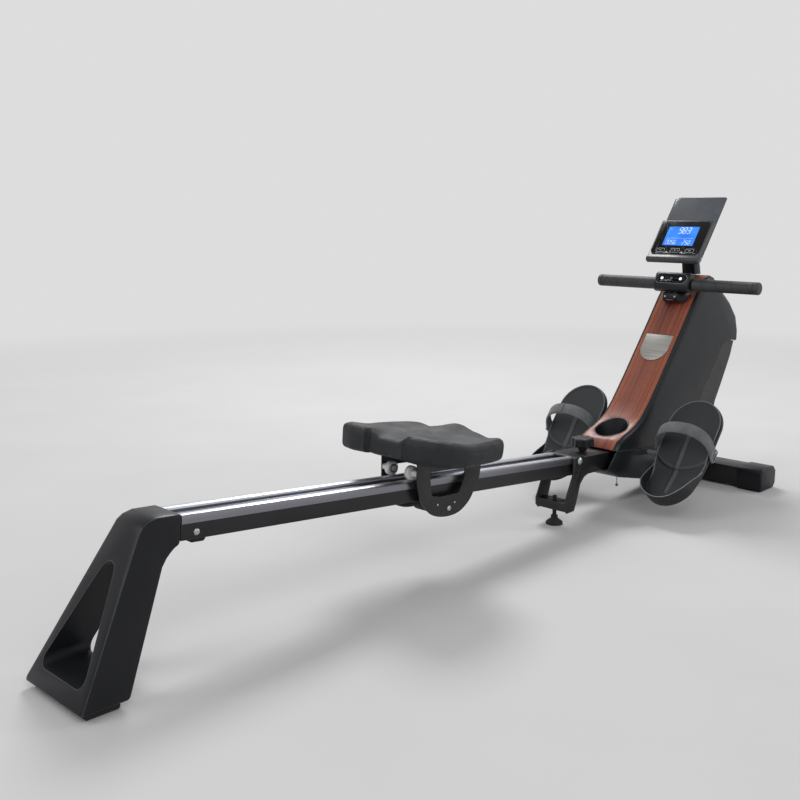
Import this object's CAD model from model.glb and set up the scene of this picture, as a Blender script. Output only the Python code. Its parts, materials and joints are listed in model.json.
import json
from functools import partial
from math import copysign, cos, exp, pi, radians, sin, sqrt

import bpy
from mathutils import Matrix, Vector

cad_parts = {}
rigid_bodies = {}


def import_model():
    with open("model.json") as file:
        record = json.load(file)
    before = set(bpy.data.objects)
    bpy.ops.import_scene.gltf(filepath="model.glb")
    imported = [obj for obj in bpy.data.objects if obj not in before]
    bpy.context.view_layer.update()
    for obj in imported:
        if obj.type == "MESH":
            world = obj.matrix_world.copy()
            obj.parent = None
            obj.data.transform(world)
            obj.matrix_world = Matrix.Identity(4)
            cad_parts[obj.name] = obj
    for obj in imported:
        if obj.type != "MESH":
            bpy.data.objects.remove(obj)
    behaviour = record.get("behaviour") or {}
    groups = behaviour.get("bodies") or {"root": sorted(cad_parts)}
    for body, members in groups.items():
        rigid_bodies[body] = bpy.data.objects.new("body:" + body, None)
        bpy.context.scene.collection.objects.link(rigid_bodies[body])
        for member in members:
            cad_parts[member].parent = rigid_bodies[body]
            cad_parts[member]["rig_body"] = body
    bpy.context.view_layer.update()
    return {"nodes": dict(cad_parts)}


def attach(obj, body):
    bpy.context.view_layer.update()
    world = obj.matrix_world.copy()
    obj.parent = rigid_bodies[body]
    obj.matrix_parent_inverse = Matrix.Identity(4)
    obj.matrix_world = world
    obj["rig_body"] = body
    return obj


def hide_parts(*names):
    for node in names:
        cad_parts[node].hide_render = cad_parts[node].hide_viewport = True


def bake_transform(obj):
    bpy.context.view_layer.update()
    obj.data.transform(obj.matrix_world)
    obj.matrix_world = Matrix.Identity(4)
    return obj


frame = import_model()
nodes = frame["nodes"]
print("rower: solids loaded,", len(nodes), "pieces")

# Where the rail, the pedals, the console and the pod face lie; every local shape is placed by these
railTurn = radians(5.1)
faceTurn = radians(-52.3)
podTurn = radians(-62.7)


def onMachine(x, y, z):
    return Vector((x - 1.0575, y, z))  # x is measured from the back of the rear leg


def turnedPlace(spot, turn):
    return Matrix.Translation(spot) @ Matrix.Rotation(turn, 4, "Y")


sideways = Matrix.Rotation(radians(90), 4, "X")  # an outline in (x, z) that is drawn out along y
railPlace = turnedPlace(onMachine(1.362, 0, 0.160), railTurn)
carriagePlace = railPlace @ Matrix.Translation((-0.500, 0, 0))
consolePlace = turnedPlace(onMachine(1.905, 0, 0.672), faceTurn)
handlePlace = Matrix.Translation(onMachine(1.8547, 0, 0.5628))
podPlace = handlePlace @ turnedPlace(Vector((-0.0225, 0, 0.0165)), podTurn)
sideSigns = {"left": 1, "right": -1}
pedalPlaces = {side: turnedPlace(onMachine(1.650, 0.173 * sign, 0.137), faceTurn)
               for side, sign in sideSigns.items()}


# Colours and materials

def linear(text):
    channels = []
    for i in (1, 3, 5):
        value = int(text[i:i + 2], 16) / 255
        channels.append(value / 12.92 if value <= 0.04045 else ((value + 0.055) / 1.055) ** 2.4)
    return (*channels, 1.0)


def connect(node, links):
    # a link's source is a socket, or a node whose first output is meant
    for name, source in links.items():
        node.id_data.links.new(getattr(source, "outputs", [source])[0], node.inputs[name])


def addNode(tree, kind, settings=None, links=None):
    node = tree.nodes.new("ShaderNode" + kind)
    for name, value in (settings or {}).items():
        if name == "ramp":
            steps = node.color_ramp.elements
            while len(steps) < len(value):
                steps.new(0.5)
            for step, (place, colour) in zip(steps, value):
                step.position = place
                step.color = linear(colour)
        elif isinstance(name, int) or name in node.inputs:
            node.inputs[name].default_value = value
        else:
            setattr(node, name, value)
    connect(node, links or {})
    return node


def startMaterial(name, settings):
    # gives the material, what adds a node to it, its shader and the object's coordinates
    material = bpy.data.materials.new(name)
    material.use_nodes = True
    shader = material.node_tree.nodes["Principled BSDF"]
    for socket, value in settings.items():
        shader.inputs[socket].default_value = value
    add = partial(addNode, material.node_tree)
    return material, add, shader, add("TexCoord").outputs["Object"]


def layered(add, colour, layers):
    # each layer's shade covers the colour, up to its share, as its pattern runs from start to end
    for pattern, start, end, share, shade in layers:
        settings = {"From Min": start, "From Max": end, "To Max": share}
        amount = add("MapRange", settings, {"Value": pattern})
        colour = add("Mix", {"data_type": "RGBA", 7: linear(shade)}, {0: amount, 6: colour}).outputs[2]
    return colour, amount


def crossedWaves(add, source, pitch, wave):
    axes = add("SeparateXYZ", None, {0: source})
    waves = []
    for axis in ("X", "Y"):
        turns = add("Math", {"operation": "MULTIPLY", 1: 2 * pi / pitch}, {0: axes.outputs[axis]})
        waves.append(add("Math", {"operation": wave}, {0: turns}))
    return add("Math", {"operation": "MULTIPLY"}, {0: waves[0], 1: waves[1]})


def finishMaterial(add, shader, colour, sheen, relief, strength, depth, rounding=None, ends=(0.3, 0.7)):
    # sheen is a pattern with the roughness where it reaches the first and the second of its ends
    pattern, first, second = sheen
    settings = {"From Min": ends[0], "From Max": ends[1], "To Min": first, "To Max": second}
    rough = add("MapRange", settings, {"Value": pattern})
    bump = add("Bump", {"Strength": strength, "Distance": depth}, {"Height": relief})
    if rounding:
        connect(bump, {"Normal": rounding})
    connect(shader, {"Base Color": colour, "Roughness": rough, "Normal": bump})


def wornEdges(add, colour, worn, width, place):
    # a Bevel node rounds every corner; where it and the true normal differ, the colour is rubbed paler
    bevel = add("Bevel", {"samples": 4, "Radius": width})
    flat = add("NewGeometry").outputs["Normal"]
    turn = add("VectorMath", {"operation": "DOT_PRODUCT"}, {0: bevel, 1: flat}).outputs["Value"]
    edge = add("MapRange", {"From Min": 0.985, "From Max": 0.80}, {"Value": turn})
    patch = add("TexNoise", {"Scale": 55.0, "Detail": 4.0}, {"Vector": place})
    rubbed = add("MapRange", {"From Min": 0.25, "From Max": 0.60, "To Min": 0.35}, {"Value": patch})
    amount = add("Math", {"operation": "MULTIPLY"}, {0: edge, 1: rubbed})
    mixed = add("Mix", {"data_type": "RGBA", 7: linear(worn)}, {0: amount, 6: colour})
    return mixed.outputs[2], bevel


def grained(name, look):
    # moulded, painted or cast surfaces: cloudy tone, uneven sheen, a fine grain and lighter corners
    sockets = {"Metallic": look.get("metal", 0.0), "Specular IOR Level": look.get("shine", 0.5)}
    material, add, shader, place = startMaterial(name, sockets)
    cloud = add("TexNoise", {"Scale": 1 / look["cloud"], "Detail": 3.0}, {"Vector": place})
    tone = add("ValToRGB", {"ramp": [(0.32, look["dark"]), (0.70, look["light"])]}, {0: cloud})
    colour, rounding = wornEdges(add, tone, look["worn"], look.get("edge", 0.0012), place)
    if "rubbed" in look:
        # the mesh itself says where a shoe polishes the rim and the ribs
        rubbed = add("Attribute", {"attribute_name": "rubbed"}).outputs["Fac"]
        colour = layered(add, colour, [(rubbed, 0.0, 1.0, 1.0, look["rubbed"])])[0]
    smear = add("TexNoise", {"Scale": 1 / look["smear"], "Detail": 5.0}, {"Vector": place})
    grain = add("TexNoise", {"Scale": 1 / look["grain"], "Detail": 2.0}, {"Vector": place})
    sheen = (smear, *look["rough"])
    finishMaterial(add, shader, colour, sheen, grain, look["bump"], look["grain"] * 0.25, rounding)
    return material


# Injection-moulded ABS with a spark-eroded skin: a soft satin sheen, never a mirror
housingAbs = grained("housingAbs", {
    "dark": "#16181b", "light": "#1d1f23", "worn": "#888b91", "rough": (0.30, 0.40), "cloud": 0.16,
    "smear": 0.05, "grain": 0.0014, "bump": 0.10, "edge": 0.0020, "shine": 0.26,
})
legAbs = grained("legAbs", {
    "dark": "#15161a", "light": "#1d1e22", "worn": "#8d9096", "rough": (0.32, 0.44), "cloud": 0.20,
    "smear": 0.06, "grain": 0.0014, "bump": 0.10, "edge": 0.0020, "shine": 0.24,
})
consoleAbs = grained("consoleAbs", {
    "dark": "#34363a", "light": "#404246", "worn": "#85888e", "rough": (0.32, 0.42), "cloud": 0.06,
    "smear": 0.02, "grain": 0.0010, "bump": 0.12, "edge": 0.0016, "shine": 0.40,
})
# Glass-filled nylon for the foot plates: duller, with a coarser grain that grips a shoe
pedalNylon = grained("pedalNylon", {
    "dark": "#1c1d20", "light": "#222427", "worn": "#74777d", "rough": (0.48, 0.54), "cloud": 0.10,
    "smear": 0.04, "grain": 0.0012, "bump": 0.20, "edge": 0.0010, "shine": 0.40, "rubbed": "#8b8e93",
})
# Powder-coated steel: baked paint with a slight orange peel
powderSteel = grained("powderSteel", {
    "dark": "#141517", "light": "#1b1c1f", "worn": "#7d8086", "rough": (0.30, 0.42), "cloud": 0.12,
    "smear": 0.04, "grain": 0.0018, "bump": 0.14, "edge": 0.0012, "shine": 0.40,
})
# Vulcanised rubber: dull and slightly dusty
rubber = grained("rubber", {
    "dark": "#131314", "light": "#1d1d1f", "worn": "#37373a", "rough": (0.70, 0.84), "cloud": 0.03,
    "smear": 0.01, "grain": 0.0009, "bump": 0.30,
})
# Zinc-plated steel: bright, with a faint grey clouding
zincPlate = grained("zincPlate", {
    "dark": "#a2a5a9", "light": "#cfd0d2", "worn": "#f0f0ee", "rough": (0.22, 0.36), "cloud": 0.008,
    "smear": 0.004, "grain": 0.0006, "bump": 0.05, "metal": 0.8, "edge": 0.0005,
})
# Nickel-plated wire, duller than the zinc
nickel = grained("nickel", {
    "dark": "#6d7075", "light": "#94979b", "worn": "#c8cacc", "rough": (0.28, 0.42), "cloud": 0.006,
    "smear": 0.004, "grain": 0.0006, "bump": 0.06, "metal": 0.9, "edge": 0.0005,
})
# Bright-drawn steel bar: even pale grey, drawn lines too fine to see
drawnSteel = grained("drawnSteel", {
    "dark": "#a0a3a7", "light": "#b8bbbe", "worn": "#dddfe0", "rough": (0.30, 0.38), "cloud": 0.010,
    "smear": 0.006, "grain": 0.0010, "bump": 0.04, "metal": 0.35, "edge": 0.0005,
})
# Turned nylon rollers: milky white with light scuffs
rollerNylon = grained("rollerNylon", {
    "dark": "#cfcfcb", "light": "#e9e9e6", "worn": "#f6f6f4", "rough": (0.34, 0.48), "cloud": 0.01,
    "smear": 0.006, "grain": 0.0010, "bump": 0.10,
})
# Sand-cast iron, machined and oiled
castIron = grained("castIron", {
    "dark": "#35363a", "light": "#4c4e52", "worn": "#7a7c80", "rough": (0.38, 0.58), "cloud": 0.03,
    "smear": 0.01, "grain": 0.0016, "bump": 0.35, "metal": 0.9,
})
# Polished black acrylic over the display and the pod: deep black, clear reflections
blackGlass = grained("blackGlass", {
    "dark": "#050506", "light": "#09090b", "worn": "#3a3c41", "rough": (0.14, 0.22), "cloud": 0.04,
    "smear": 0.02, "grain": 0.0040, "bump": 0.01, "edge": 0.0006, "shine": 0.20,
})
# Printed white ink: flat and even
whiteInk = grained("whiteInk", {
    "dark": "#c9ced4", "light": "#e2e5e8", "worn": "#ffffff", "rough": (0.40, 0.55), "cloud": 0.004,
    "smear": 0.003, "grain": 0.0004, "bump": 0.05,
})


def extrudedAluminium():
    # anodised aluminium, drawn lines along it: a slate channel, bright ridges and mauve-grey sides
    look = {
        "ridge": [(0.3, "#b9bcc4"), (0.7, "#dcdfe5")], "channel": "#62636e", "side": "#77747d",
        "channelHalf": 0.0172, "ridgeHalf": 0.0352,
    }
    material, add, shader, place = startMaterial("extrudedAluminium", {"Metallic": 0.92})
    level = add("Mapping", {"Rotation": (0, -railTurn, 0)}, {"Vector": place})
    lines = add("Mapping", {"Scale": (1.2, 700, 700)}, {"Vector": level})
    drawn = add("TexNoise", {"Scale": 1.0, "Detail": 2.0}, {"Vector": lines})
    tone = add("ValToRGB", {"ramp": look["ridge"]}, {0: drawn})
    axes = add("SeparateXYZ", None, {0: level})
    across = add("Math", {"operation": "ABSOLUTE"}, {0: axes.outputs["Y"]})
    inner, outer = look["channelHalf"], look["ridgeHalf"]
    colour = layered(add, tone, [
        (across, inner + 0.0004, inner, 1.0, look["channel"]),
        (across, outer, outer + 0.0006, 0.85, look["side"]),
    ])[0]
    scuff = add("TexNoise", {"Scale": 30.0, "Detail": 5.0}, {"Vector": place})
    finishMaterial(add, shader, colour, (scuff, 0.28, 0.38), drawn, 0.04, 0.0002)
    return material


def walnutVeneer():
    # lacquered walnut veneer: red-brown streaks up the slope, paler sapwood near both edges
    look = {
        "ramp": [(0.26, "#47221a"), (0.42, "#703627"), (0.56, "#8a4936"), (0.74, "#ab6046")],
        "sap": "#b05c3a", "pore": "#38190f", "groove": "#1d0f0b", "grooveAt": 0.0395,
    }
    coat = {"Coat Weight": 0.10, "Coat Roughness": 0.26, "Specular IOR Level": 0.35}
    material, add, shader, place = startMaterial("walnutVeneer", coat)
    broad = add("Mapping", {"Scale": (1.6, 62, 1.6)}, {"Vector": place})
    settings = {"Scale": 1.0, "Detail": 5.0, "Roughness": 0.62, "Distortion": 0.35}
    streak = add("TexNoise", settings, {"Vector": broad})
    fine = add("Mapping", {"Scale": (9, 620, 9)}, {"Vector": place})
    fibre = add("TexNoise", {"Scale": 1.0, "Detail": 3.0}, {"Vector": fine})
    blend = add("Math", {"operation": "MULTIPLY_ADD", 1: 0.26}, {0: fibre, 2: streak})
    shift = add("Math", {"operation": "SUBTRACT", 1: 0.13}, {0: blend})
    tone = add("ValToRGB", {"ramp": look["ramp"]}, {0: shift})
    axes = add("SeparateXYZ", None, {0: place})
    across = add("Math", {"operation": "ABSOLUTE"}, {0: axes.outputs["Y"]})
    dashes = add("Mapping", {"Scale": (70, 1100, 70)}, {"Vector": place})
    pores = add("TexNoise", {"Scale": 1.0, "Detail": 1.0}, {"Vector": dashes})
    offset = add("Math", {"operation": "SUBTRACT", 1: look["grooveAt"]}, {0: across})
    distance = add("Math", {"operation": "ABSOLUTE"}, {0: offset})
    colour, groove = layered(add, tone, [
        (across, 0.024, 0.044, 0.55, look["sap"]), (pores, 0.60, 0.70, 0.65, look["pore"]),
        (distance, 0.0009, 0.0004, 1.0, look["groove"]),
    ])
    height = add("Math", {"operation": "SUBTRACT"}, {0: fibre, 1: groove})
    finishMaterial(add, shader, colour, (fibre, 0.50, 0.38), height, 0.25, 0.0003)
    return material


def brushedAluminium():
    # brushed aluminium sheet, its fine lines running across the panel
    look = {"ramp": [(0.3, "#83817e"), (0.7, "#acaaa6")], "worn": "#e6e5e1"}
    material, add, shader, place = startMaterial("brushedAluminium", {"Metallic": 0.85})
    lines = add("Mapping", {"Scale": (1500, 6, 1500)}, {"Vector": place})
    brush = add("TexNoise", {"Scale": 1.0, "Detail": 3.0}, {"Vector": lines})
    tone = add("ValToRGB", {"ramp": look["ramp"]}, {0: brush})
    colour, rounding = wornEdges(add, tone, look["worn"], 0.0006, place)
    finishMaterial(add, shader, colour, (brush, 0.34, 0.48), brush, 0.08, 0.0002, rounding)
    return material


def webbing(name, look):
    # woven polyester: crossed ribs, drawn coarser than the real 1 mm yarns so that they show
    material, add, shader, place = startMaterial(name, {"Sheen Weight": 0.15, "Sheen Roughness": 0.5})
    cross = crossedWaves(add, add("UVMap", {"uv_map": "weave"}), look["pitch"], "SINE")
    fuzz = add("TexNoise", {"Scale": 900.0, "Detail": 3.0}, {"Vector": place})
    cloud = add("TexNoise", {"Scale": 45.0, "Detail": 3.0}, {"Vector": place})
    level = add("Math", {"operation": "MULTIPLY_ADD", 1: 0.22}, {0: cross, 2: fuzz})
    mixed = add("Math", {"operation": "MULTIPLY_ADD", 1: 0.5}, {0: cloud, 2: level})
    tone = add("ValToRGB", {"ramp": [(0.45, look["dark"]), (1.0, look["light"])]}, {0: mixed})
    finishMaterial(add, shader, tone, (fuzz, 0.70, 0.88), cross, 0.45, 0.0005, None, (0.0, 1.0))
    return material


def foamSkin():
    # skinned polyurethane foam with a leather grain, drawn at 2.2 mm
    look = {"ramp": [(0.30, "#1f2024"), (0.70, "#292b30")], "furrow": "#16171a", "grain": 0.0022}
    material, add, shader, place = startMaterial("foamSkin", {"Specular IOR Level": 0.35})
    cloud = add("TexNoise", {"Scale": 9.0, "Detail": 4.0}, {"Vector": place})
    tone = add("ValToRGB", {"ramp": look["ramp"]}, {0: cloud})
    settings = {"feature": "DISTANCE_TO_EDGE", "Scale": 1 / look["grain"]}
    cells = add("TexVoronoi", settings, {"Vector": place})
    skin = add("MapRange", {"From Max": 0.12}, {"Value": cells.outputs["Distance"]})
    colour = layered(add, tone, [(skin, 1.0, 0.0, 0.6, look["furrow"])])[0]
    wear = add("TexNoise", {"Scale": 24.0, "Detail": 4.0}, {"Vector": place})
    finishMaterial(add, shader, colour, (wear, 0.52, 0.66), skin, 0.22, 0.0003)
    return material


def gripRubber():
    # moulded rubber sleeve with slanting part lines
    look = {
        "pitch": 0.044, "slant": 0.55, "width": 0.0012, "ramp": [(0.3, "#2b2c2f"), (0.7, "#38393c")],
        "line": "#0d0e0f",
    }
    material, add, shader, place = startMaterial("gripRubber", {})
    axes = add("SeparateXYZ", None, {0: place})
    along = add("Math", {"operation": "ABSOLUTE"}, {0: axes.outputs["Y"]})
    settings = {"operation": "MULTIPLY_ADD", 1: look["slant"]}
    slanted = add("Math", settings, {0: axes.outputs["Z"], 2: along})
    turns = add("Math", {"operation": "PINGPONG", 1: look["pitch"] / 2}, {0: slanted})
    cloud = add("TexNoise", {"Scale": 40.0, "Detail": 3.0}, {"Vector": place})
    tone = add("ValToRGB", {"ramp": look["ramp"]}, {0: cloud})
    width = look["width"]
    colour, line = layered(add, tone, [(turns, width, width * 0.4, 1.0, look["line"])])
    pebble = add("TexNoise", {"Scale": 1100.0, "Detail": 2.0}, {"Vector": place})
    raised = add("Math", {"operation": "SUBTRACT", 0: 1.0}, {1: line})
    height = add("Math", {"operation": "MULTIPLY_ADD", 1: 0.12}, {0: pebble, 2: raised})
    finishMaterial(add, shader, colour, (pebble, 0.46, 0.64), height, 0.35, 0.0006, None, (0.0, 1.0))
    return material


def smokedAcrylic():
    # smoked clear acrylic sheet: dark to look through, polished, with faint wipe marks
    look = {"ramp": [(0.3, "#50545a"), (0.7, "#5c6066")], "rough": (0.05, 0.12)}
    material, add, shader, place = startMaterial("smokedAcrylic", {"Transmission Weight": 1.0, "IOR": 1.49})
    wipe = add("TexNoise", {"Scale": 14.0, "Detail": 5.0, "Distortion": 1.2}, {"Vector": place})
    tone = add("ValToRGB", {"ramp": look["ramp"]}, {0: wipe})
    finishMaterial(add, shader, tone, (wipe, *look["rough"]), wipe, 0.02, 0.0004)
    return material


def litScreen(name, look):
    # backlit liquid crystal: an even glow with a faint dot grid, drawn at 1.1 mm
    settings = {"Roughness": 0.30, "Specular IOR Level": 0.2, "Emission Strength": look["glow"]}
    material, add, shader, place = startMaterial(name, settings)
    flat = add("Mapping", {"Rotation": (0, -faceTurn, 0)}, {"Vector": place})
    dotPitch = 0.0011
    grid = crossedWaves(add, flat, dotPitch, "COSINE")
    drift = add("TexNoise", {"Scale": 22.0, "Detail": 1.0}, {"Vector": place})
    level = add("Math", {"operation": "MULTIPLY_ADD", 1: 0.08}, {0: grid, 2: drift})
    tone = add("ValToRGB", {"ramp": [(0.3, look["deep"]), (0.7, look["pale"])]}, {0: level})
    connect(shader, {"Base Color": tone, "Emission Color": tone})
    return material


railAluminium = extrudedAluminium()
walnut = walnutVeneer()
plateAluminium = brushedAluminium()
footWebbing = webbing("footWebbing", {"pitch": 0.0024, "dark": "#474a4c", "light": "#7b7e80"})
pullWebbing = webbing("pullWebbing", {"pitch": 0.0026, "dark": "#1c1d1f", "light": "#3a3b3e"})
seatSkin = foamSkin()
gripSleeve = gripRubber()
acrylic = smokedAcrylic()
screenBlue = litScreen("screenBlue", {"deep": "#276edc", "pale": "#3b8df0", "glow": 0.50})
screenWhite = litScreen("screenWhite", {"deep": "#b9d4ff", "pale": "#dcebff", "glow": 0.75})
lensWhite = litScreen("lensWhite", {"deep": "#cfe0ff", "pale": "#ffffff", "glow": 0.8})
print("rower: finishes ready")


# Modelling helpers

def pick(thing):
    bpy.ops.object.select_all(action="DESELECT")
    thing.select_set(True)
    bpy.context.view_layer.objects.active = thing


def startEdit(thing):
    pick(thing)
    bpy.ops.object.mode_set(mode="EDIT")
    bpy.ops.mesh.select_all(action="SELECT")


def endEdit():
    bpy.ops.mesh.select_all(action="SELECT")
    bpy.ops.mesh.normals_make_consistent(inside=False)
    bpy.ops.object.mode_set(mode="OBJECT")


def applyModifiers(thing):
    pick(thing)
    for modifier in list(thing.modifiers):
        bpy.ops.object.modifier_apply(modifier=modifier.name)


def addPiece(thing, material, body, stands=()):
    # finishes a piece: material, the body that carries it, record slot and the solids it stands for
    thing.data.materials.clear()
    thing.data.materials.append(material)
    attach(thing, body)
    if stands:
        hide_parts(*stands)


def standIn(thing, material, node):
    # a refined piece takes over its solid's body, slot and place
    addPiece(thing, material, nodes[node]["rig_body"], (node,))


def linked(name, mesh):
    thing = bpy.data.objects.new(name, mesh)
    bpy.context.scene.collection.objects.link(thing)
    return thing


def copied(node, name):
    # a solid's mesh comes as loose triangles; its copy is merged into clean faces
    thing = linked(name, nodes[node].data.copy())
    startEdit(thing)
    bpy.ops.mesh.remove_doubles(threshold=0.00002)
    bpy.ops.mesh.customdata_custom_splitnormals_clear()
    bpy.ops.mesh.dissolve_limited(angle_limit=radians(0.4))
    bpy.ops.object.mode_set(mode="OBJECT")
    return thing


def roundEdges(thing, width, segments=2, angle=40):
    if width:
        edge = thing.modifiers.new("Edge", "BEVEL")
        edge.width = width
        edge.segments = segments
        edge.limit_method = "ANGLE"
        edge.angle_limit = radians(angle)
        applyModifiers(thing)
    pick(thing)
    bpy.ops.object.shade_smooth_by_angle(angle=radians(38))


def meshPiece(name, points, faces, edges=()):
    mesh = bpy.data.meshes.new(name)
    mesh.from_pydata(points, edges, faces)
    thing = linked(name, mesh)
    startEdit(thing)
    endEdit()
    return thing


def tubeFaces(points, count):
    # the faces of a closed form whose points come section by section
    faces = [range(count), range(len(points) - count, len(points))]
    for row in range(0, len(points) - count, count):
        for k in range(count):
            j = (k + 1) % count
            faces.append((row + k, row + j, row + count + j, row + count + k))
    return faces


def drawUp(thing, levels, place, edge=0.0, wire=0.0):
    # a flat face gets its thickness; wire leaves only a rim of that width
    low, high = levels
    startEdit(thing)
    if wire:
        bpy.ops.mesh.inset(thickness=wire)
        bpy.ops.mesh.delete(type="FACE")
        bpy.ops.mesh.select_all(action="SELECT")
    bpy.ops.mesh.extrude_region_move(TRANSFORM_OT_translate={"value": (0, 0, high - low)})
    endEdit()
    roundEdges(thing, edge)
    thing.data.transform(place @ Matrix.Translation((0, 0, low)))
    return thing


def plate(name, centre, halves, corner, levels, place, edge=0.0, wire=0.0, steps=6):
    # a flat plate with rounded corners
    bpy.ops.object.select_all(action="DESELECT")
    bpy.ops.mesh.primitive_plane_add(size=2, location=(*centre, 0))
    thing = bpy.context.object
    thing.name = name
    thing.scale = (*halves, 1)
    bpy.ops.object.transform_apply()
    startEdit(thing)
    bpy.ops.mesh.bevel(offset=corner, segments=steps, affect="VERTICES")
    bpy.ops.object.mode_set(mode="OBJECT")
    return drawUp(thing, levels, place, edge, wire)


def disc(name, centre, radius, levels, place, edge=0.0, wire=0.0):
    bpy.ops.object.select_all(action="DESELECT")
    bpy.ops.mesh.primitive_circle_add(vertices=30, radius=radius, fill_type="NGON", location=(*centre, 0))
    thing = bpy.context.object
    thing.name = name
    bpy.ops.object.transform_apply()
    return drawUp(thing, levels, place, edge, wire)


def outlined(name, outline, levels, place, edge=0.0, wire=0.0):
    # a plate with an outline of its own
    thing = meshPiece(name, [(x, y, 0) for x, y in outline], [range(len(outline))])
    return drawUp(thing, levels, place, edge, wire)


def turned(name, profile, place, steps=40, edge=0.0):
    # a half profile of (radius, height) points, spun about its own Z axis
    line = [(i, i + 1) for i in range(len(profile) - 1)]
    thing = meshPiece(name, [(radius, 0, height) for radius, height in profile], [], line)
    startEdit(thing)
    bpy.ops.mesh.spin(steps=steps, angle=2 * pi, center=(0, 0, 0), axis=(0, 0, 1))
    bpy.ops.mesh.select_all(action="SELECT")
    bpy.ops.mesh.remove_doubles(threshold=0.00001)
    endEdit()
    roundEdges(thing, edge)
    thing.data.transform(place)
    return thing


def cutBy(thing, cutter):
    cut = thing.modifiers.new("Cut", "BOOLEAN")
    cut.operation = "DIFFERENCE"
    cut.solver = "EXACT"
    cut.object = cutter
    applyModifiers(thing)
    bpy.data.objects.remove(cutter, do_unlink=True)


def joined(name, things):
    bpy.ops.object.select_all(action="DESELECT")
    for thing in things:
        thing.select_set(True)
    bpy.context.view_layer.objects.active = things[0]
    bpy.ops.object.join()
    things[0].name = name
    return things[0]


def arc(centre, radius, start, end, steps):
    angles = [radians(start + (end - start) * i / steps) for i in range(steps + 1)]
    return [(centre[0] + radius * cos(angle), centre[1] + radius * sin(angle)) for angle in angles]


def smoothPath(points, steps):
    # a rounded line through the given points
    line = []
    padded = [Vector(point) for point in (points[0], *points, points[-1])]
    for before, start, end, after in zip(padded, padded[1:], padded[2:], padded[3:]):
        for k in range(steps):
            t = k / steps
            bend = (2 * before - 5 * start + 4 * end - after) * t * t
            sway = (3 * start - before - 3 * end + after) * t ** 3
            line.append(0.5 * (2 * start + (end - before) * t + bend + sway))
    return line + [Vector(points[-1])]


def easeStep(value, low, high):
    t = min(max((value - low) / (high - low), 0.0), 1.0)
    return t * t * (3 - 2 * t)


# Rigid solids: softened copies, with the width of each one's rounded edges

softened = {
    "belly_cover": ("bellyCover", housingAbs, 0.0008),
    "rear_leg": ("rearLegMoulding", legAbs, 0.0),
    "main_frame": ("mainFrameWeldment", powderSteel, 0.0),
    "fold_bracket": ("foldBracket", powderSteel, 0.0007),
    "rail_beam": ("railTube", powderSteel, 0.0012),
    "rail_track": ("railExtrusion", railAluminium, 0.0004),
    "hinge_block": ("hingeBlock", powderSteel, 0.0010),
    "rail_stopper": ("railStopper", rubber, 0.0),
    "stabilizer": ("frontTube", powderSteel, 0.0060),
    "wood_panel": ("walnutPanel", walnut, 0.0004),
    "cup_holder": ("cupWell", housingAbs, 0.0003),
    "name_plate": ("barePlate", plateAluminium, 0.0003),
    "handle_pod": ("handlePod", housingAbs, 0.0008),
    "handle_bar": ("handleTube", powderSteel, 0.0006),
    "console_case": ("consoleCase", consoleAbs, 0.0010),
    "console_neck": ("consoleNeck", housingAbs, 0.0015),
    "lock_knob": ("lockKnob", housingAbs, 0.0),
    "levelling_foot": ("levellingFoot", rubber, 0.0005),
    "pedal_axle": ("pedalAxle", drawnSteel, 0.0006),
    "pivot_bolt": ("pivotBolt", zincPlate, 0.0),
    "roller_lower": ("rollerLower", rubber, 0.0005),
}
pairs = {
    "shell": ("shell", housingAbs, 0.0),
    "stabilizer_cap": ("frontCap", legAbs, 0.0012),
    "leg_pad": ("legPad", rubber, 0.0),
    "transport_wheel": ("wheel", rubber, 0.0004),
    "roller_rear": ("rollerRear", rollerNylon, 0.0003),
    "roller_front": ("rollerFront", rollerNylon, 0.0003),
    "pod_button": ("podButton", blackGlass, 0.0004),
}
for node, (name, material, width) in pairs.items():
    for side in sideSigns:
        softened[node + "_" + side] = (name + side.capitalize(), material, width)
for node, (name, material, width) in softened.items():
    softCopy = copied(node, name)
    roundEdges(softCopy, width)
    standIn(softCopy, material, node)

inside = {
    "flywheel": castIron, "strap_drum": housingAbs, "magnet_yoke": powderSteel,
    "resistance_motor": housingAbs, "drive_belt": rubber, "recoil_spring": powderSteel,
    "flywheel_axle": zincPlate, "drum_axle": zincPlate, "strap_roller": rollerNylon,
}
for node, material in inside.items():
    nodes[node].data.materials.clear()
    nodes[node].data.materials.append(material)
print("rower: solids dressed")


# Seat cushion: skinned foam, dished for two thighs, with a raised middle and a notch behind

seat = {
    "voxel": 0.0032, "middle": -0.016, "flat": 0.1050, "swell": 0.0020, "pressure": 4.0, "frames": 20,
    "corner": 0.0110, "notch": 0.0170, "hump": 0.0125, "dish": 0.0095, "step": 0.0140,
    "level": 0.0990, "hollow": 0.0062, "share": 0.3, "reach": 0.13,
}


def seatTop(x, y):
    # height of the cushion's top over the rail; x runs forward from the cushion's middle
    level = seat["level"] + seat["corner"] * easeStep(-x, 0.020, 0.120)
    level -= seat["notch"] * (1 - easeStep(abs(y), 0.022, 0.064)) * easeStep(-x, 0.040, 0.112)
    level += seat["hump"] * exp(-(y / 0.034) ** 2) * easeStep(x, -0.030, 0.112)
    level -= seat["hollow"] * exp(-((abs(y) - 0.086) / 0.026) ** 2) * easeStep(x, 0.040, 0.118)
    level -= seat["dish"] * exp(-((abs(y) - 0.074) / 0.040) ** 2) * exp(-((x + 0.015) / 0.062) ** 2)
    return level


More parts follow.
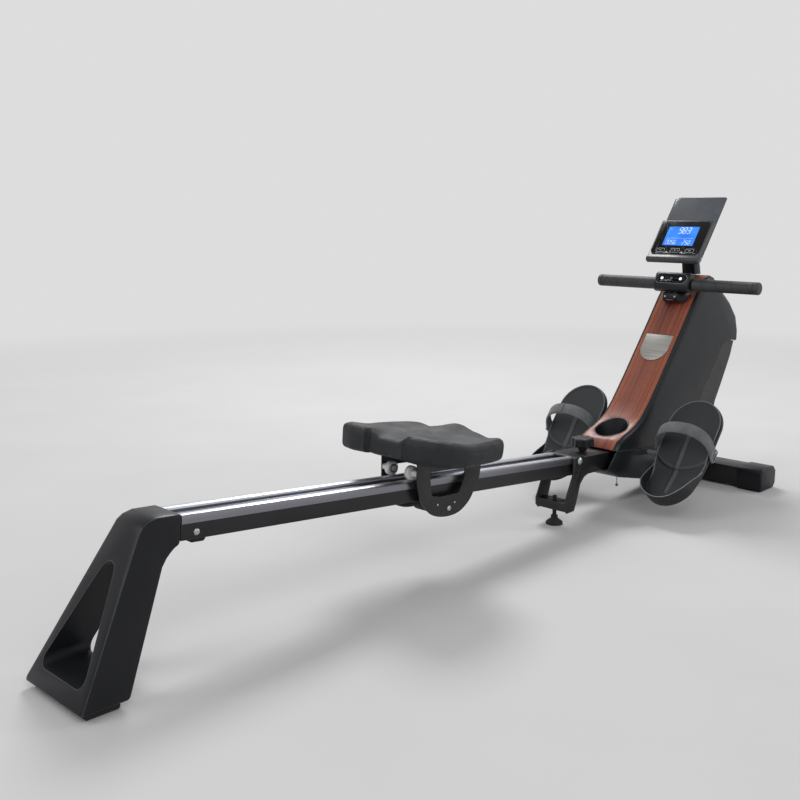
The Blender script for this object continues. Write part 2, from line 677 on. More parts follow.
def swellCushion(cushion):
    # the foam presses its skin outwards; every point's way is capped
    start = [vertex.co.copy() for vertex in cushion.data.vertices]
    skin = cushion.modifiers.new("Skin", "CLOTH")
    skin.settings.use_pressure = True
    skin.settings.uniform_pressure_force = seat["pressure"]
    skin.settings.effector_weights.gravity = 0.0
    skin.settings.tension_stiffness = 30
    skin.settings.compression_stiffness = 30
    skin.point_cache.frame_start = 1
    skin.point_cache.frame_end = seat["frames"]
    for step in range(1, seat["frames"] + 1):
        bpy.context.scene.frame_set(step)
    shape = cushion.evaluated_get(bpy.context.evaluated_depsgraph_get())
    moved = [vertex.co.copy() for vertex in shape.data.vertices]
    cushion.modifiers.remove(skin)
    for vertex, before, after in zip(cushion.data.vertices, start, moved):
        push = after - before
        vertex.co = before + push * min(1.0, seat["swell"] / max(push.length, 1e-9))
    bpy.context.scene.frame_set(1)


def buildSeat():
    cushion = copied("seat_cushion", "seatCushion")
    blocks = cushion.modifiers.new("Voxels", "REMESH")
    blocks.mode = "VOXEL"
    blocks.voxel_size = seat["voxel"]
    applyModifiers(cushion)
    local = carriagePlace.inverted()
    # the pad starts smaller by a share of what it will swell
    shrink = 1 - seat["share"] * seat["swell"] / seat["reach"]
    for vertex in cushion.data.vertices:
        x, y, n = local @ vertex.co
        x -= seat["middle"]
        n += easeStep(n, 0.066, seat["flat"]) * (seatTop(x, y) - seat["flat"])
        slope = min(max((abs(y) - 0.045) / 0.023, 0.0), 1.0)
        x -= seat["step"] * (easeStep(abs(y), 0.0545, 0.0605) - slope) * easeStep(-x, 0.090, 0.108)
        vertex.co = carriagePlace @ Vector((x * shrink + seat["middle"], y * shrink, n))
    swellCushion(cushion)
    smooth = cushion.modifiers.new("Smooth", "SMOOTH")
    smooth.factor = 0.5
    smooth.iterations = 1
    finer = cushion.modifiers.new("Finer", "SUBSURF")
    finer.levels = 1
    finer.render_levels = 1
    applyModifiers(cushion)
    pick(cushion)
    bpy.ops.object.shade_smooth()
    standIn(cushion, seatSkin, "seat_cushion")


carriage = {"plate": (0.0500, 0.0530), "top": 0.0559, "deck": (-0.080, 0.100, 0.0515), "windowCorner": 0.006}


def buildCarriage():
    # two side plates with a rounded belly and a window each, under one deck
    belly = smoothPath([
        (-0.0870, 0.0040), (-0.0725, -0.0330), (-0.0460, -0.0590), (-0.0200, -0.0700), (0.0150, -0.0735),
        (0.0500, -0.0675), (0.0790, -0.0480), (0.0940, -0.0260), (0.1070, -0.0020), (0.1110, 0.0200),
    ], 5)
    outline = [(-0.0905, carriage["top"]), *belly, (0.1110, carriage["top"])]
    window = [
        (-0.0506, 0.0270), (-0.0410, -0.0240), (-0.0120, -0.0290), (0.0440, -0.0260), (0.0600, 0.0060),
        (0.0600, 0.0270),
    ]
    low, high = carriage["plate"]
    pieces = []
    for start, end in ((low, high), (-high, -low)):
        cheek = outlined("cheek", outline, (start, end), carriagePlace @ sideways)
        hole = meshPiece("hole", [(x, y, start - 0.01) for x, y in window], [range(len(window))])
        startEdit(hole)
        bpy.ops.mesh.bevel(offset=carriage["windowCorner"], segments=5, affect="VERTICES")
        bpy.ops.object.mode_set(mode="OBJECT")
        cutBy(cheek, drawUp(hole, (0, 0.03), carriagePlace @ sideways))
        roundEdges(cheek, 0.0005)
        pieces.append(cheek)
    back, front, under = carriage["deck"]
    halves = ((front - back) / 2, low + 0.0010)
    levels = (under, carriage["top"])
    pieces.append(plate("deck", ((back + front) / 2, 0), halves, 0.003, levels, carriagePlace, 0.0005))
    thing = joined("carriagePlates", pieces)
    standIn(thing, powderSteel, "carriage_frame")


buildSeat()
buildCarriage()
print("rower: seat upholstered")


# Pedals: sole, heel cup, tread, strap and buckle

sole = {
    "toe": 0.156, "half": 0.073, "heel": -0.1505, "heelRadius": 0.0645, "face": 0.024, "back": 0.015,
    "cupStart": -0.042, "cupFull": -0.132, "cupHeight": 0.041, "wall": 0.0026, "lean": -0.0015,
    "lip": 0.0008, "cuts": 9, "bend": 0.014, "bendFrom": 0.045, "bendTo": 0.148, "thinner": 0.45,
    "narrowing": [(-0.020, 0.0720), (-0.045, 0.0692), (-0.064, 0.0672), (-0.080, 0.0654)],
    "waist": 0.0085, "waistEnds": (0.005, 0.086),
}


def bentSole(point):
    # the sole rises towards the heel and gets thinner there
    u, v, w = point
    bend = easeStep(-u, sole["bendFrom"], sole["bendTo"])
    if w < sole["face"]:
        w = sole["face"] - (sole["face"] - w) * (1 - sole["thinner"] * bend)
    return Vector((u, v, w + sole["bend"] * bend))


def soleOutline():
    # anticlockwise from the toe's right side, round the heel and back
    toe = arc((sole["toe"] - sole["half"], 0), sole["half"], -90, 90, 40)
    leftSide = [tuple(spot) for spot in smoothPath(sole["narrowing"], 4)]
    heel = arc((sole["heel"] + sole["heelRadius"], 0), sole["heelRadius"], 94, 266, 48)
    return toe + leftSide + heel + [(u, -v) for u, v in reversed(leftSide)]


def markRubbed(thing, amounts):
    layer = thing.data.attributes.new("rubbed", "FLOAT", "POINT")
    for value, amount in zip(layer.data, amounts):
        value.value = amount


def cupWall(line):
    # the heel cup's wall with a lip along its foot, section by section along the sole's edge
    points, rubbed = [], []
    for i, spot in enumerate(line):
        before, after = Vector(line[max(i - 1, 0)]), Vector(line[min(i + 1, len(line) - 1)])
        heading = (after - before).normalized()
        t = (sole["cupStart"] - spot[0]) / (sole["cupStart"] - sole["cupFull"])
        rise = sin(pi / 2 * min(max(t, 0.0), 1.0))
        top = sole["face"] + 0.0006 + sole["cupHeight"] * rise
        lean, wall = sole["lean"] * rise, sole["wall"]
        foot, lip = sole["back"] + 0.0010, sole["lip"] * easeStep(rise, 0.55, 0.95)
        section = [
            (0.0002 + lip, foot), (0.0004 + lip, foot + 0.0022), (0.0004, foot + 0.0032),
            (0.0004, sole["face"]), (lean + 0.0002, top - 0.0012), (lean - 0.0004, top - 0.0003),
            (lean - 0.0010, top), (lean - wall + 0.0008, top), (lean - wall + 0.0002, top - 0.0004),
            (lean - wall, top - 0.0012), (-wall - 0.0012 * rise, sole["face"] - 0.0010),
            (-wall - 0.0012 * rise, foot),
        ]
        shine = 0.9 * lip / sole["lip"]
        rubbed += [shine, shine, 0, 0, 0, 0.45, 1.0, 1.0, 0.45, 0, 0, 0]
        points += [(spot[0] + heading.y * out, spot[1] - heading.x * out, w) for out, w in section]
    return points, tubeFaces(points, len(section)), rubbed


def buildSole(side):
    outline = soleOutline()
    footbed = outlined("footbed", outline, (sole["back"], sole["face"]), Matrix(), 0.0012)
    footbed.data.transform(Matrix.Scale(0.9985, 4))
    # cuts across the sole let its long faces follow the bend
    startEdit(footbed)
    for k in range(sole["cuts"]):
        bpy.ops.mesh.select_all(action="SELECT")
        u = -sole["bendFrom"] - (sole["bendTo"] - sole["bendFrom"]) * k / sole["cuts"]
        bpy.ops.mesh.bisect(plane_co=(u, 0, 0), plane_no=(1, 0, 0))
    endEdit()
    points, faces, rubbed = cupWall([spot for spot in outline if spot[0] < sole["cupStart"] + 0.004])
    cup = meshPiece("cup", points, faces)
    markRubbed(cup, rubbed)
    pick(cup)
    bpy.ops.object.shade_smooth_by_angle(angle=radians(50))
    for part in (footbed, cup):
        for vertex in part.data.vertices:
            vertex.co = bentSole(vertex.co)
    boss = arc((0, 0), 0.0125, 190, 350, 10) + [(0.016, 0.017), (-0.016, 0.017)]
    hinge = outlined("hinge", boss, (-0.038, 0.038), sideways, 0.0010)
    thing = joined("footPlate_" + side, [footbed, cup, hinge])
    thing.data.transform(pedalPlaces[side])
    standIn(thing, pedalNylon, "foot_plate_" + side)


tread = {
    "border": 0.0018, "borderWidth": 0.0034, "pad": 0.0048, "padAt": -0.046, "arch": 6.5, "step": 0.0095,
    "rib": 0.0010, "ribHalf": 0.0058, "ribEnds": (-0.118, 0.060), "inset": 0.0014, "cupInset": 0.0024,
    "skin": 0.0010, "rows": 150, "columns": 44, "ribEdge": 0.0006, "lift": 0.0006,
}


def soleHalf(u, inset):
    # half the sole's width at u, measured up the plate from its axle, with its edge moved in by inset
    toeCentre, heelCentre = sole["toe"] - sole["half"], sole["heel"] + sole["heelRadius"]
    if u > toeCentre:
        return sqrt(max((sole["half"] - inset) ** 2 - (u - toeCentre) ** 2, 0.0))
    if u > heelCentre:
        return sole["half"] - sole["waist"] * easeStep(-u, *sole["waistEnds"]) - inset
    return sqrt(max((sole["heelRadius"] - inset) ** 2 - (u - heelCentre) ** 2, 0.0))


def treadAcross(y, half):
    # columns of points gather at the rib's sides, except where the sole is too narrow for it
    column, side, edge = abs(y) * tread["columns"], tread["ribHalf"], tread["ribEdge"]
    if column < 2.5:
        gathered = (side - edge) * column / 2
    else:
        turn = pi / 2 * (column - 3) / (tread["columns"] / 2 - 3)
        gathered = side + edge + (half - side - edge) * sin(turn)
    even = half * sin(pi * y)
    return even + (copysign(gathered, y) - even) * easeStep(half, 0.014, 0.030)


def treadLevel(u, v, half):
    # raised border, flat middle rib and a ball-of-foot pad with an arched lower edge
    room, width, side = half - abs(v), tread["borderWidth"], tread["ribHalf"]
    toeCentre = sole["toe"] - sole["half"]
    if u > toeCentre:
        room = sole["half"] - tread["inset"] - sqrt((u - toeCentre) ** 2 + v * v)
    (low, high), edge = tread["ribEnds"], tread["ribEdge"]
    border = (1 - easeStep(room, width * 0.8, width * 1.2)) * easeStep(u, -0.095, -0.060)
    rib = 1 - easeStep(abs(v), side - edge, side + edge)
    rib *= easeStep(u, low - 0.003, low + 0.003) * (1 - easeStep(u, high - 0.004, high + 0.004))
    above = u - tread["padAt"] - tread["arch"] * v * v
    pad = easeStep(above, -tread["step"] / 2, tread["step"] / 2)
    level = tread["lift"] + tread["pad"] * pad + tread["border"] * border + tread["rib"] * rib
    level -= 0.0014 * (1 - easeStep(room, 0.0, 0.0012))
    brow = exp(-((above - tread["step"] * 0.45) / 0.0030) ** 2)
    return level, max(0.50 * border, 0.20 * rib, 0.16 * brow)


def buildTread(side):
    bpy.ops.object.select_all(action="DESELECT")
    bpy.ops.mesh.primitive_grid_add(x_subdivisions=tread["rows"], y_subdivisions=tread["columns"], size=1)
    thing = bpy.context.object
    thing.name = "footTread_" + side
    low = sole["heel"] + tread["inset"] + tread["cupInset"] + 0.0001
    high = sole["toe"] - tread["inset"] - 0.0001
    rubbed = []
    for vertex in thing.data.vertices:
        u = low + (high - low) * (0.5 + 0.5 * sin(pi * vertex.co.x))
        half = soleHalf(u, tread["inset"] + tread["cupInset"] * easeStep(-u, 0.030, 0.060))
        v = treadAcross(vertex.co.y, half)
        level, amount = treadLevel(u, v, half)
        rubbed.append(amount)
        vertex.co = bentSole((u, v, sole["face"] + level))
    markRubbed(thing, rubbed)
    wall = thing.modifiers.new("Wall", "SOLIDIFY")
    wall.thickness = tread["skin"]
    wall.offset = -1.0
    applyModifiers(thing)
    bpy.ops.object.shade_smooth_by_angle(angle=radians(60))
    thing.data.transform(pedalPlaces[side])
    addPiece(thing, pedalNylon, "pedal_" + side)


strap = {
    "half": [
        (0.0748, 0.0075), (0.0765, 0.024), (0.0765, 0.040), (0.0680, 0.062), (0.0480, 0.077),
        (0.0240, 0.084),
    ],
    "crown": 0.086, "from": -0.0044, "to": 0.0256, "thickness": 0.0024, "shear": 0.55, "endLift": 0.0022,
}


def flatBand(name, path, low, high, thickness, shear=0.0):
    # a band with rounded edges that follows a path; its weave map runs in metres
    section = arc((high - thickness / 2, 0), thickness / 2, -90, 90, 4)
    section += arc((low + thickness / 2, 0), thickness / 2, 90, 270, 4)
    count = len(section)
    points, lengths = [], [0.0]
    for i, spot in enumerate(path):
        heading = (path[min(i + 1, len(path) - 1)] - path[max(i - 1, 0)]).normalized()
        if i:
            lengths.append(lengths[-1] + (spot - path[i - 1]).length)
        for across, out in section:
            side, up = spot.x - heading.y * out, spot.y + heading.x * out
            points.append((across + shear * max(up - sole["face"], 0.0), side, up))
    thing = meshPiece(name, points, tubeFaces(points, count))
    layer = thing.data.uv_layers.new(name="weave")
    for loop in thing.data.loops:
        row, column = divmod(loop.vertex_index, count)
        layer.data[loop.index].uv = (lengths[row], section[column][0])
    bpy.ops.object.shade_smooth_by_angle(angle=radians(50))
    return thing


def buildStrap(side):
    sign = sideSigns[side]
    rising = [(sign * v, w) for v, w in strap["half"]]
    falling = [(-v, w) for v, w in reversed(rising)]
    path = smoothPath([*rising, (0.0, strap["crown"]), *falling], 5)
    low, high = strap["from"], strap["to"]
    band = flatBand("footStrap_" + side, path, low, high, strap["thickness"], strap["shear"])
    band.data.transform(pedalPlaces[side])
    standIn(band, footWebbing, "foot_strap_" + side)
    # the free end comes through the buckle and lies back over the band
    over = [spot + (spot - Vector((0, 0.03))).normalized() * strap["endLift"] for spot in path[4:28]]
    flap = flatBand("strapEnd_" + side, over, low + 0.0008, high - 0.0008, 0.0018, strap["shear"])
    flap.data.transform(pedalPlaces[side])
    addPiece(flap, footWebbing, "pedal_" + side)


buckle = {
    "centre": (0.0125, 0.0220), "halves": (0.0165, 0.0120), "wire": 0.0030, "out": 0.0798, "depth": 0.0014,
}


def buildBuckle(side):
    # a ladder buckle: a rounded wire frame with one bar across
    u, w = buckle["centre"]
    place = pedalPlaces[side] @ Matrix.Translation((u, sideSigns[side] * buckle["out"], w)) @ sideways
    depth = buckle["depth"]
    ring = plate("ring", (0, 0), buckle["halves"], 0.004, (-depth, depth), place, 0.0007, buckle["wire"])
    halves = (buckle["halves"][0] - 0.002, 0.0014)
    bar = plate("bar", (0, 0), halves, 0.0006, (-depth * 0.8, depth * 0.8), place, 0.0004)
    thing = joined("strapBuckle_" + side, [ring, bar])
    standIn(thing, nickel, "buckle_" + side)


for side in sideSigns:
    buildSole(side)
    buildTread(side)
    buildStrap(side)
    buildBuckle(side)
print("rower: pedals strapped")


# Handle: grips, pod face, cradle and the pull strap

grip = {
    "radius": 0.0165, "bore": 0.0128, "boreEnd": 0.2386, "start": 0.0560, "end": 0.2436, "capAt": 0.2290,
    "groove": 0.0014,
}


def buildGrip(side):
    r, bore, cap, end = grip["radius"], grip["bore"], grip["capAt"], grip["end"]
    groove, boreEnd = r - grip["groove"], grip["boreEnd"]
    profile = [
        (0, boreEnd), (bore, boreEnd), (bore, grip["start"]), (r - 0.0012, grip["start"]),
        (r, grip["start"] + 0.0012), (r, cap - 0.0006), (groove, cap), (groove, cap + 0.0014),
        (r, cap + 0.0020), (r, end - 0.0036), (r - 0.0009, end - 0.0016), (r - 0.0026, end - 0.0004),
        (r - 0.0046, end), (0, end),
    ]
    place = handlePlace @ Matrix.Rotation(radians(-90 * sideSigns[side]), 4, "X")
    thing = turned("gripSleeve_" + side, profile, place, 48)
    standIn(thing, gripSleeve, "grip_" + side)


podFace = {
    "half": 0.0133, "length": 0.0468, "trim": 0.0012, "buttonY": 0.028, "hole": 0.0064, "lens": 0.0042,
    "mark": 0.0034, "dot": 0.0009, "top": 0.0009, "ink": 0.00015,
}


def buildPodFace():
    half, length, trim, top = podFace["half"], podFace["length"], podFace["trim"], podFace["top"]
    levels, printed = (0.0002, top), (top, top + podFace["ink"])
    glass = plate("podGlass", (0, 0), (half, length), half * 0.99, levels, podPlace, 0.0003, 0.0, 10)
    for side, sign in sideSigns.items():
        spot = (0, sign * podFace["buttonY"])
        cutBy(glass, disc("hole", spot, podFace["hole"], (-0.002, 0.004), podPlace))
        lens = disc("podLens_" + side, spot, podFace["lens"], (top, top + 0.0004), podPlace, 0.0002)
        addPiece(lens, lensWhite, "pod_button_" + side)
    addPiece(glass, blackGlass, "handle")
    halves = (half + trim, length + trim)
    ring = plate("podTrim", (0, 0), halves, halves[0] * 0.99, (0.0001, 0.0014), podPlace, 0.0004, trim, 10)
    addPiece(ring, nickel, "handle")
    circle = disc("circle", (0, 0), podFace["mark"], printed, podPlace, 0.0, 0.0006)
    dot = disc("dot", (0, 0), podFace["dot"], printed, podPlace)
    addPiece(joined("podMark", [circle, dot]), whiteInk, "handle")


cradle = {
    "tapersFrom": 0.7985, "over": 0.030, "taper": 0.42, "strip": (0.7725, 0.5215), "stripTurn": -132,
}


def buildCradle():
    # the rest narrows towards its lower front edge, where a steel strip ends it
    thing = copied("handle_cradle", "handleRest")
    for vertex in thing.data.vertices:
        ahead = cradle["tapersFrom"] - vertex.co.x
        vertex.co.y *= 1 - cradle["taper"] * easeStep(ahead, 0.0, cradle["over"])
    roundEdges(thing, 0.0010)
    standIn(thing, housingAbs, "handle_cradle")
    x, z = cradle["strip"]
    place = turnedPlace((x, 0, z), radians(cradle["stripTurn"]))
    strip = plate("restStrip", (0, 0), (0.0016, 0.0110), 0.0008, (0, 0.0012), place, 0.0003)
    addPiece(strip, nickel, "frame")


pullStrap = {
    "half": 0.0125, "thickness": 0.0018, "rollerX": 1.925, "rollerZ": 0.546, "over": 0.0167, "end": 1.8730,
    "rise": (0.4550, 0.5000, 0.5300),
}


def buildPullStrap():
    # one flat band from the drum, over the guide roller and out to the handle, which draws it longer
    x, z, over = pullStrap["rollerX"], pullStrap["rollerZ"], pullStrap["over"]
    path = [(x + over, height) for height in pullStrap["rise"]] + arc((x, z), over, 0, 90, 8)
    path += [(x + (pullStrap["end"] - x) * i / 60, z + over) for i in range(1, 61)]
    path = [Vector((1.0575 - x, z)) for x, z in path]
    half = pullStrap["half"]
    thing = flatBand("pullStrap", path, -half, half, pullStrap["thickness"])
    thing.data.transform(Matrix.Rotation(radians(90), 4, "Z"))
    thing.data.materials.append(pullWebbing)
    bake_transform(thing)
    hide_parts("pull_strap")


for side in sideSigns:
    buildGrip(side)
buildPodFace()
buildCradle()
buildPullStrap()
print("rower: handle fitted")


# Console: glossy face, lit display, key outlines and the sheet behind

face = {
    "level": 0.0377, "top": 0.0383, "middle": -0.00905, "halves": (0.0550, 0.0733), "corner": 0.0135,
    "screen": (-0.00385, 0.03125, 0.046), "screenTop": 0.0386, "keyU": -0.0517,
    "keyLevels": (0.0381, 0.0387), "keyCorner": 0.0048, "line": 0.0009, "pocket": 0.0362,
    "keys": {
        "left": (0.0440, 0.0134, 0.0066), "middle": (0.0, 0.0145, 0.0074),
        "right": (-0.0440, 0.0134, 0.0066),
    },
}


def buildConsoleFace():
    levels = (face["level"] + 0.0001, face["top"])
    spot = (face["middle"], 0)
    glass = plate("consoleGlass", spot, face["halves"], face["corner"], levels, consolePlace, 0.0003)
    case = bpy.data.objects["consoleCase"]  # each key sinks into a pocket of the case when it is pressed
    for v, half, width in face["keys"].values():
        halves = (width + 0.0004, half + 0.0004)
        spot, corner = (face["keyU"], v), face["keyCorner"] + 0.0004
        cutBy(glass, plate("hole", spot, halves, corner, (0.030, 0.045), consolePlace))
        cutBy(case, plate("pocket", spot, halves, corner, (face["pocket"], 0.045), consolePlace))
    roundEdges(case, 0.0)
    addPiece(glass, blackGlass, "console")
    middle, halfU, halfV = face["screen"]
    levels = (face["top"], face["screenTop"])
    screen = plate("displayPanel", (middle, 0), (halfU, halfV), 0.0012, levels, consolePlace)
    addPiece(screen, screenBlue, "console")


figures = {
    "rows": [
        ("983", 0.0120, 0.0045, 0.0195), ("0056", 0.0385, -0.0310, 0.0125),
        ("250", -0.0120, -0.0310, 0.0125),
    ],
    "rules": [
        (-0.0113, 0.0, 0.0400), (-0.0155, 0.034, 0.0040), (-0.0155, -0.016, 0.0040),
        (0.0195, 0.037, 0.0035),
    ],
    "bar": 0.085, "width": 0.45, "gap": 0.065, "slant": 0.14, "spacing": 1.40,
}
barsOf = {
    "0": "abcdef", "2": "abged", "3": "abgcd", "5": "afgcd", "6": "afgedc", "8": "abcdefg", "9": "abcdfg",
}


def figureBars(figure, height):
    # the seven bars of a figure as (low x, high x, low z, high z)
    bar, width, gap = height * figures["bar"] / 2, height * figures["width"], height * figures["gap"]
    middle = height / 2
    boxes = {
        "a": (gap, width - gap, height - bar, height + bar),
        "g": (gap, width - gap, middle - bar, middle + bar),
        "d": (gap, width - gap, -bar, bar),
        "f": (-bar, bar, middle + gap, height - gap),
        "b": (width - bar, width + bar, middle + gap, height - gap),
        "e": (-bar, bar, gap, middle - gap),
        "c": (width - bar, width + bar, gap, middle - gap),
    }
    return [boxes[name] for name in barsOf[figure]]


def buildFigures():
    # the running figures of a session; rows give each one's text, left edge, foot and height
    levels = (face["screenTop"], face["screenTop"] + 0.0002)
    pieces = []
    for text, left, base, height in figures["rows"]:
        for place, figure in enumerate(text):
            shift = left - place * height * figures["width"] * figures["spacing"]
            for lowX, highX, lowZ, highZ in figureBars(figure, height):
                corners = ((lowX, lowZ), (highX, lowZ), (highX, highZ), (lowX, highZ))
                outline = [(base + z, shift - x - z * figures["slant"]) for x, z in corners]
                pieces.append(outlined("bar", outline, levels, consolePlace))
    for u, v, half in figures["rules"]:
        pieces.append(plate("rule", (u, v), (0.0002, half), 0.0001, levels, consolePlace, 0.0, 0.0, 2))
    addPiece(joined("displayFigures", pieces), screenWhite, "console")


keyMarks = {
    "left": [(0, 0, 0.0005, 0.0052)],
    "middle": [
        (0.0006, 0.0080, 0.0004, 0.0022), (0.0006, -0.0080, 0.0004, 0.0022),
        (0.0006, -0.0080, 0.0018, 0.0004), (-0.0020, 0, 0.0004, 0.0026),
    ],
    "right": [(0, 0, 0.0008, 0.0042)],
}


def buildKeys():
    low, high = face["keyLevels"]
    levels = (high, high + 0.00012)
    for name, (v, half, width) in face["keys"].items():
        u, corner = face["keyU"], face["keyCorner"]
        node = "console_button_" + name
        key = plate("consoleKey_" + name, (u, v), (width, half), corner, (low, high), consolePlace, 0.0002)
        standIn(key, blackGlass, node)
        halves, line = (width - 0.0004, half - 0.0004), face["line"]
        pieces = [plate("outline", (u, v), halves, corner - 0.0004, levels, consolePlace, 0.0, line)]
        for shiftU, shiftV, halfU, halfV in keyMarks[name]:
            spot = (u + shiftU, v + shiftV)
            corner = min(halfU, halfV) * 0.8
            pieces.append(plate("bar", spot, (halfU, halfV), corner, levels, consolePlace, 0.0, 0.0, 2))
        if name == "middle":
            outline = [(u - 0.0002, v - 0.0024), (u + 0.0030, v), (u - 0.0002, v + 0.0024)]
            pieces.append(outlined("arrow", outline, levels, consolePlace))
        addPiece(joined("keyMark_" + name, pieces), whiteInk, node)


sheet = {
    "middle": 0.0307, "halves": (0.1098, 0.0778), "levels": (0.0187, 0.0217), "corner": 0.0060,
    "knuckle": 0.0103, "knuckleHalf": 0.0143,
}


def buildTabletSheet():
    spot, levels = (sheet["middle"], 0), sheet["levels"]
    thing = plate("tabletSheet", spot, sheet["halves"], sheet["corner"], levels, consolePlace, 0.0006)
    standIn(thing, acrylic, "tablet_plate")
    radius, half, back = sheet["knuckle"], sheet["knuckleHalf"], levels[0] - 0.0001
    profile = [(0, -half), (radius, -half), (radius, half), (0, half)]
    eye = turned("eye", profile, consolePlace @ sideways, 32, 0.0008)
    stem = plate("stem", (0, 0), (0.0100, half), 0.0020, (0.001, back), consolePlace, 0.0006)
    pad = plate("pad", (0, 0), (0.0240, 0.0260), 0.0040, (back - 0.0026, back), consolePlace, 0.0006)
    addPiece(joined("tiltKnuckle", [eye, stem, pad]), housingAbs, "console")
    cover = plate("caseBack", (-0.0130, 0), (0.0545, 0.0705), 0.0020, (0.0221, 0.0241), consolePlace, 0.0005)
    addPiece(cover, consoleAbs, "console")


buildConsoleFace()
buildFigures()
buildKeys()
buildTabletSheet()
print("rower: console lit")


# Small fasteners

def domeScrew(name, place, radius, height, body):
    profile = [
        (0, height * 0.45), (radius * 0.34, height * 0.45), (radius * 0.36, height * 0.96),
        (radius * 0.62, height * 0.84), (radius * 0.86, height * 0.50), (radius, 0.0),
        (radius * 0.5, -0.0006), (0, -0.0006),
    ]
    addPiece(turned(name, profile, place, 28), zincPlate, body)


def facingOut(base, spot, sign):
    return base @ Matrix.Translation(spot) @ Matrix.Rotation(radians(-90 * sign), 4, "X")


bolts = {
    "leg": (-1.1076, -0.0229, 0.0062), "legOut": 0.0365, "hubOut": 0.0225,
    "carriage": {"Middle": (0.0160, -0.0562, 0.0060), "Rear": (-0.0205, -0.0450, 0.0024),
                 "Front": (0.0325, -0.0450, 0.0024)},
    "hubs": {"rear": -0.082, "front": 0.100},
}
for side, sign in sideSigns.items():
    s, n, radius = bolts["leg"]
    place = facingOut(railPlace, (s, sign * bolts["legOut"], n), sign)
    domeScrew("legBolt_" + side, place, radius, 0.0034, "rail")
    for end, (s, n, radius) in bolts["carriage"].items():
        place = facingOut(carriagePlace, (s, sign * carriage["plate"][1], n), sign)
        domeScrew("carriageBolt" + end + "_" + side, place, radius, radius * 0.5, "seat")
    for end, s in bolts["hubs"].items():
        place = facingOut(carriagePlace, (s, sign * bolts["hubOut"], 0.0255), -sign)
        ring = disc("hub_" + end + "_" + side, (0, 0), 0.0092, (0, 0.0006), place, 0.0002, 0.0029)
        addPiece(ring, housingAbs, "roller_" + end + "_" + side)
    place = turnedPlace(onMachine(1.8275, sign * 0.0145, 0.5300), radians(-100))
    domeScrew("restScrew_" + side, place, 0.0030, 0.0014, "frame")

pin = {"x": 1.5996, "top": 0.0725, "bottom": 0.0400}
low, high = pin["bottom"], pin["top"]
stem = turned("beltPin", [
    (0, low), (0.0028, low + 0.0010), (0.0042, low + 0.0040), (0.0028, low + 0.0070), (0.0014, low + 0.0080),
    (0.0014, high - 0.0030), (0.0040, high - 0.0030), (0.0040, high), (0, high),
], Matrix.Translation(onMachine(pin["x"], 0, 0)), 24)
addPiece(stem, zincPlate, "frame")
print("rower: fasteners set")


# Studio: pale floor that fades into a pale background, soft lamps and the camera

studio = {
    "floor": [(0.3, "#d8d8d8"), (0.7, "#dddddd")], "world": "#dddddd", "ambient": 0.50, "size": 30.0,
    "fade": (1.7, 4.6),
}
lamps = {
    "key": {"at": (2.2, 2.4, 3.6), "aim": (0.1, 0.0, 0.2), "size": 1.6, "power": 100.0},
    "fill": {"at": (-1.9, -3.2, 3.4), "aim": (0.4, 0.0, 0.2), "size": 2.8, "power": 45.0},
    "side": {"at": (-3.4, 1.2, 2.9), "aim": (0.3, 0.0, 0.3), "size": 2.0, "power": 30.0},
    "rim": {"at": (2.9, -2.0, 1.9), "aim": (0.6, 0.0, 0.4), "size": 1.0, "power": 18.0},
}


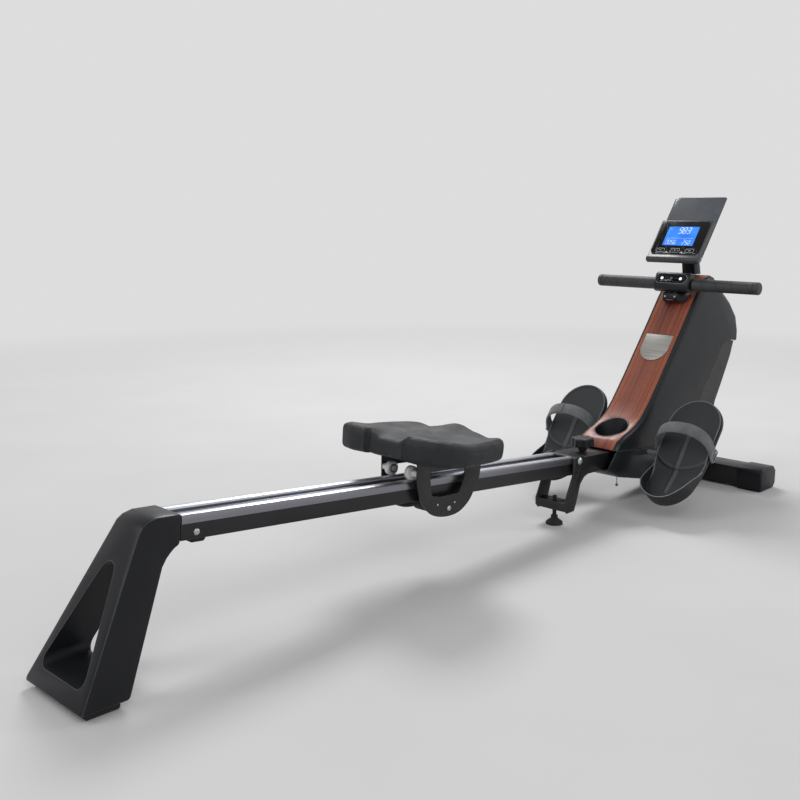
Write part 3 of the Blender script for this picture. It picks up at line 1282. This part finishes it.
def buildFloor():
    bpy.ops.object.select_all(action="DESELECT")
    bpy.ops.mesh.primitive_plane_add(size=studio["size"] * 2, location=(0, 0, -0.0006))
    floor = bpy.context.object
    floor.name = "studioFloor"
    material, add, shader, place = startMaterial("studioFloorPaint", {"Roughness": 0.80})
    cloud = add("TexNoise", {"Scale": 2.0, "Detail": 3.0}, {"Vector": place})
    tone = add("ValToRGB", {"ramp": studio["floor"]}, {0: cloud})
    connect(shader, {"Base Color": tone})
    away = add("VectorMath", {"operation": "LENGTH"}, {0: place}).outputs["Value"]
    near, far = studio["fade"]
    fade = add("MapRange", {"From Min": near, "From Max": far}, {"Value": away})
    clear = add("BsdfTransparent")
    mixed = add("MixShader", None, {0: fade, 1: shader, 2: clear})
    connect(material.node_tree.nodes["Material Output"], {"Surface": mixed})
    floor.data.materials.append(material)


def buildWorld():
    world = bpy.data.worlds.new("studioWorld")
    bpy.context.scene.world = world
    world.use_nodes = True
    world.node_tree.nodes.clear()
    add = partial(addNode, world.node_tree)
    rays = add("LightPath").outputs
    seen = rays["Is Camera Ray"]
    for kind in ("Is Glossy Ray", "Is Transmission Ray"):
        seen = add("Math", {"operation": "MAXIMUM"}, {0: seen, 1: rays[kind]})
    strength = add("MapRange", {"To Min": studio["ambient"], "To Max": 1.0}, {"Value": seen})
    paint = add("Background", {"Color": linear(studio["world"])}, {"Strength": strength})
    add("OutputWorld", None, {"Surface": paint})


def buildLamps():
    for name, lamp in lamps.items():
        data = bpy.data.lights.new(name + "Lamp", "AREA")
        data.shape = "DISK"
        data.size = lamp["size"]
        data.energy = lamp["power"]
        thing = linked(name + "Lamp", data)
        thing.location = lamp["at"]
        heading = Vector(lamp["aim"]) - Vector(lamp["at"])
        thing.rotation_euler = heading.to_track_quat("-Z", "Y").to_euler()


view = {"at": (-1.7345, -1.4480, 0.7760), "yaw": 0.7891, "pitch": 0.1877, "roll": -0.0024, "lens": 46.057}


def buildCamera():
    camera = bpy.data.cameras.new("photoCamera")
    camera.sensor_width = 36.0
    camera.lens = view["lens"]
    thing = linked("photoCamera", camera)
    yaw, pitch, roll = view["yaw"], view["pitch"], view["roll"]
    ahead = Vector((sin(yaw) * cos(pitch), cos(yaw) * cos(pitch), -sin(pitch)))
    level = Vector((cos(yaw), -sin(yaw), 0))
    up = level.cross(ahead)
    right = level * cos(roll) + up * sin(roll)
    turn = Matrix((right, up * cos(roll) - level * sin(roll), -ahead)).transposed().to_4x4()
    thing.matrix_world = Matrix.Translation(view["at"]) @ turn
    bpy.context.scene.camera = thing


buildFloor()
buildWorld()
buildLamps()
buildCamera()
bpy.context.scene.view_settings.view_transform = "Standard"
print("rower: studio ready")
